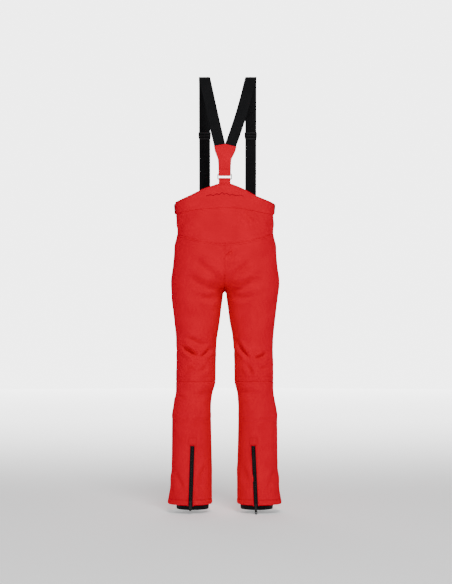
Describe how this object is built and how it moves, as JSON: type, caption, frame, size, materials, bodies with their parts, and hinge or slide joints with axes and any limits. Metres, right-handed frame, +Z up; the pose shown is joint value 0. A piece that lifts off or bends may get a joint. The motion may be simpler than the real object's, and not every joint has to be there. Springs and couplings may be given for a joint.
{
  "type": "ski pants",
  "caption": "Slim softshell ski pants with a raised back bib, elastic Y-back suspenders, zipped boot cuffs and inner snow gaiters.",
  "frame": {"origin": "centre of the waist opening, level with the waistband's top edge over the side seams", "axes": "+Z up, +X to the wearer's left, -Y the way the wearer faces, so +Y is the back"},
  "size_m": [0.413, 0.24, 1.6083],
  "materials": {
    "softshell": "matte woven",
    "lining": "matte woven",
    "webbing": "matte woven",
    "hook_loop": "matte woven",
    "gaiter_cloth": "matte woven",
    "zip_tape": "matte woven",
    "zip_metal": "satin",
    "pull_plastic": "satin",
    "ring_metal": "satin",
    "adjuster_plastic": "satin",
    "snap_metal": "satin"
  },
  "bodies": {
    "trousers": {"back_bib": "softshell", "back_yoke": "softshell", "left_front_waistband": "softshell", "right_front_waistband": "softshell", "left_seat_panel": "softshell", "right_seat_panel": "softshell", "left_front_panel": "softshell", "right_front_panel": "softshell", "waist_loop_patches": "hook_loop", "waist_closure_tab": "softshell", "left_pocket_bag": "lining", "right_pocket_bag": "lining", "fly_zip_tape": "zip_tape", "left_pocket_zip_tape": "zip_tape", "right_pocket_zip_tape": "zip_tape", "back_bib_tab": "softshell", "closure_snap_caps": "snap_metal", "band_snap_studs": "snap_metal"},
    "left_thigh": {"left_thigh_front": "softshell", "left_thigh_back": "softshell"},
    "left_calf": {"left_knee_panel": "softshell", "left_shin_front": "softshell", "left_shin_back": "softshell", "left_gaiter": "gaiter_cloth", "left_gaiter_elastic": "gaiter_cloth", "left_leg_zip_tape": "zip_tape", "left_zip_garage": "softshell"},
    "left_waist_tab_body": {"left_waist_tab": "softshell"},
    "right_thigh": {"right_thigh_front": "softshell", "right_thigh_back": "softshell"},
    "right_calf": {"right_knee_panel": "softshell", "right_shin_front": "softshell", "right_shin_back": "softshell", "right_gaiter": "gaiter_cloth", "right_gaiter_elastic": "gaiter_cloth", "right_leg_zip_tape": "zip_tape", "right_zip_garage": "softshell"},
    "right_waist_tab_body": {"right_waist_tab": "softshell"},
    "left_leg_slider": {"left_leg_zip_slider": "zip_metal"},
    "left_leg_pull": {"left_leg_zip_pull": "pull_plastic"},
    "right_leg_slider": {"right_leg_zip_slider": "zip_metal"},
    "right_leg_pull": {"right_leg_zip_pull": "pull_plastic"},
    "fly_slider": {"fly_zip_slider": "zip_metal"},
    "fly_pull": {"fly_zip_pull": "pull_plastic"},
    "left_pocket_slider": {"left_pocket_zip_slider": "zip_metal"},
    "left_pocket_pull": {"left_pocket_zip_pull": "pull_plastic"},
    "right_pocket_slider": {"right_pocket_zip_slider": "zip_metal"},
    "right_pocket_pull": {"right_pocket_zip_pull": "pull_plastic"},
    "back_ring_body": {"back_ring": "ring_metal"},
    "suspenders": {"suspender_yoke": "softshell", "left_strap": "webbing", "right_strap": "webbing"},
    "left_adjuster": {"left_strap_adjuster": "adjuster_plastic"},
    "left_ring": {"left_front_ring": "ring_metal"},
    "left_tab": {"left_front_tab": "softshell", "left_tab_snap": "snap_metal"},
    "right_adjuster": {"right_strap_adjuster": "adjuster_plastic"},
    "right_ring": {"right_front_ring": "ring_metal"},
    "right_tab": {"right_front_tab": "softshell", "right_tab_snap": "snap_metal"}
  },
  "joints": [
    {"name": "left_hip_fold", "type": "hinge", "parent": "trousers", "child": "left_thigh", "pos_m": [0, -0.114, -0.268], "axis": [-1, 0, 0], "range_deg": [0, 90]},
    {"name": "left_knee_bend", "type": "hinge", "parent": "left_thigh", "child": "left_calf", "pos_m": [0, 0.0662, -0.5452], "axis": [1, 0, 0], "range_deg": [0, 110]},
    {"name": "right_hip_fold", "type": "hinge", "parent": "trousers", "child": "right_thigh", "pos_m": [0, -0.114, -0.268], "axis": [-1, 0, 0], "range_deg": [0, 90]},
    {"name": "right_knee_bend", "type": "hinge", "parent": "right_thigh", "child": "right_calf", "pos_m": [0, 0.0662, -0.5452], "axis": [1, 0, 0], "range_deg": [0, 110]},
    {"name": "left_leg_zip_slide", "type": "slide", "parent": "left_calf", "child": "left_leg_slider", "axis": [-0.0318, -0.0017, 0.9995], "range_m": [0, 0.19]},
    {"name": "left_leg_pull_swing", "type": "hinge", "parent": "left_leg_slider", "child": "left_leg_pull", "pos_m": [0.12446, 0.09036, -1.0965], "axis": [0.9995, 0.0078, 0.0318], "range_deg": [0, 165]},
    {"name": "right_leg_zip_slide", "type": "slide", "parent": "right_calf", "child": "right_leg_slider", "axis": [0.0454, -0.007, 0.9989], "range_m": [0, 0.202]},
    {"name": "right_leg_pull_swing", "type": "hinge", "parent": "right_leg_slider", "child": "right_leg_pull", "pos_m": [-0.11375, 0.08941, -1.10851], "axis": [0.9843, -0.1705, -0.0459], "range_deg": [0, 165]},
    {"name": "fly_zip_slide", "type": "slide", "parent": "trousers", "child": "fly_slider", "axis": [0, 0.0546, 0.9985], "range_m": [-0.112, 0]},
    {"name": "fly_pull_swing", "type": "hinge", "parent": "fly_slider", "child": "fly_pull", "pos_m": [0, -0.10952, -0.05833], "axis": [-1, 0, 0], "range_deg": [0, 165]},
    {"name": "left_pocket_zip_slide", "type": "slide", "parent": "trousers", "child": "left_pocket_slider", "axis": [-0.1087, -0.0182, 0.9939], "range_m": [-0.1, 0]},
    {"name": "left_pocket_pull_swing", "type": "hinge", "parent": "left_pocket_slider", "child": "left_pocket_pull", "pos_m": [0.13777, -0.08133, -0.07691], "axis": [-0.8013, -0.5901, -0.0985], "range_deg": [0, 165]},
    {"name": "right_pocket_zip_slide", "type": "slide", "parent": "trousers", "child": "right_pocket_slider", "axis": [0.1087, -0.0182, 0.9939], "range_m": [-0.1, 0]},
    {"name": "right_pocket_pull_swing", "type": "hinge", "parent": "right_pocket_slider", "child": "right_pocket_pull", "pos_m": [-0.13777, -0.08133, -0.07691], "axis": [-0.8013, 0.5901, 0.0985], "range_deg": [0, 165]},
    {"name": "left_waist_tab_peel", "type": "hinge", "parent": "trousers", "child": "left_waist_tab_body", "pos_m": [0.1836, 0.0138, -0.022], "axis": [0, 0, 1], "range_deg": [0, 120]},
    {"name": "right_waist_tab_peel", "type": "hinge", "parent": "trousers", "child": "right_waist_tab_body", "pos_m": [-0.1836, 0.0138, -0.022], "axis": [0, 0, -1], "range_deg": [0, 120]},
    {"name": "back_ring_tilt", "type": "hinge", "parent": "trousers", "child": "back_ring_body", "pos_m": [0, 0.091, 0.08325], "axis": [-1, 0, 0], "range_deg": [0, 35]},
    {"name": "suspenders_swing", "type": "hinge", "parent": "back_ring_body", "child": "suspenders", "pos_m": [0, 0.091, 0.10175], "axis": [-1, 0, 0], "range_deg": [0, 115]},
    {"name": "left_adjuster_slide", "type": "slide", "parent": "suspenders", "child": "left_adjuster", "axis": [0, 0.1243, 0.9922], "range_m": [-0.15, 0]},
    {"name": "left_ring_swing", "type": "hinge", "parent": "suspenders", "child": "left_ring", "pos_m": [0.075, -0.104, 0.02325], "axis": [-1, 0, 0], "range_deg": [0, 60]},
    {"name": "left_tab_swing", "type": "hinge", "parent": "left_ring", "child": "left_tab", "pos_m": [0.075, -0.104, 0.00475], "axis": [-1, 0, 0], "range_deg": [0, 80]},
    {"name": "right_adjuster_slide", "type": "slide", "parent": "suspenders", "child": "right_adjuster", "axis": [0, 0.1243, 0.9922], "range_m": [-0.15, 0]},
    {"name": "right_ring_swing", "type": "hinge", "parent": "suspenders", "child": "right_ring", "pos_m": [-0.0975, -0.104, 0.02325], "axis": [-1, 0, 0], "range_deg": [0, 60]},
    {"name": "right_tab_swing", "type": "hinge", "parent": "right_ring", "child": "right_tab", "pos_m": [-0.0975, -0.104, 0.00475], "axis": [-1, 0, 0], "range_deg": [0, 80]}
  ]
}
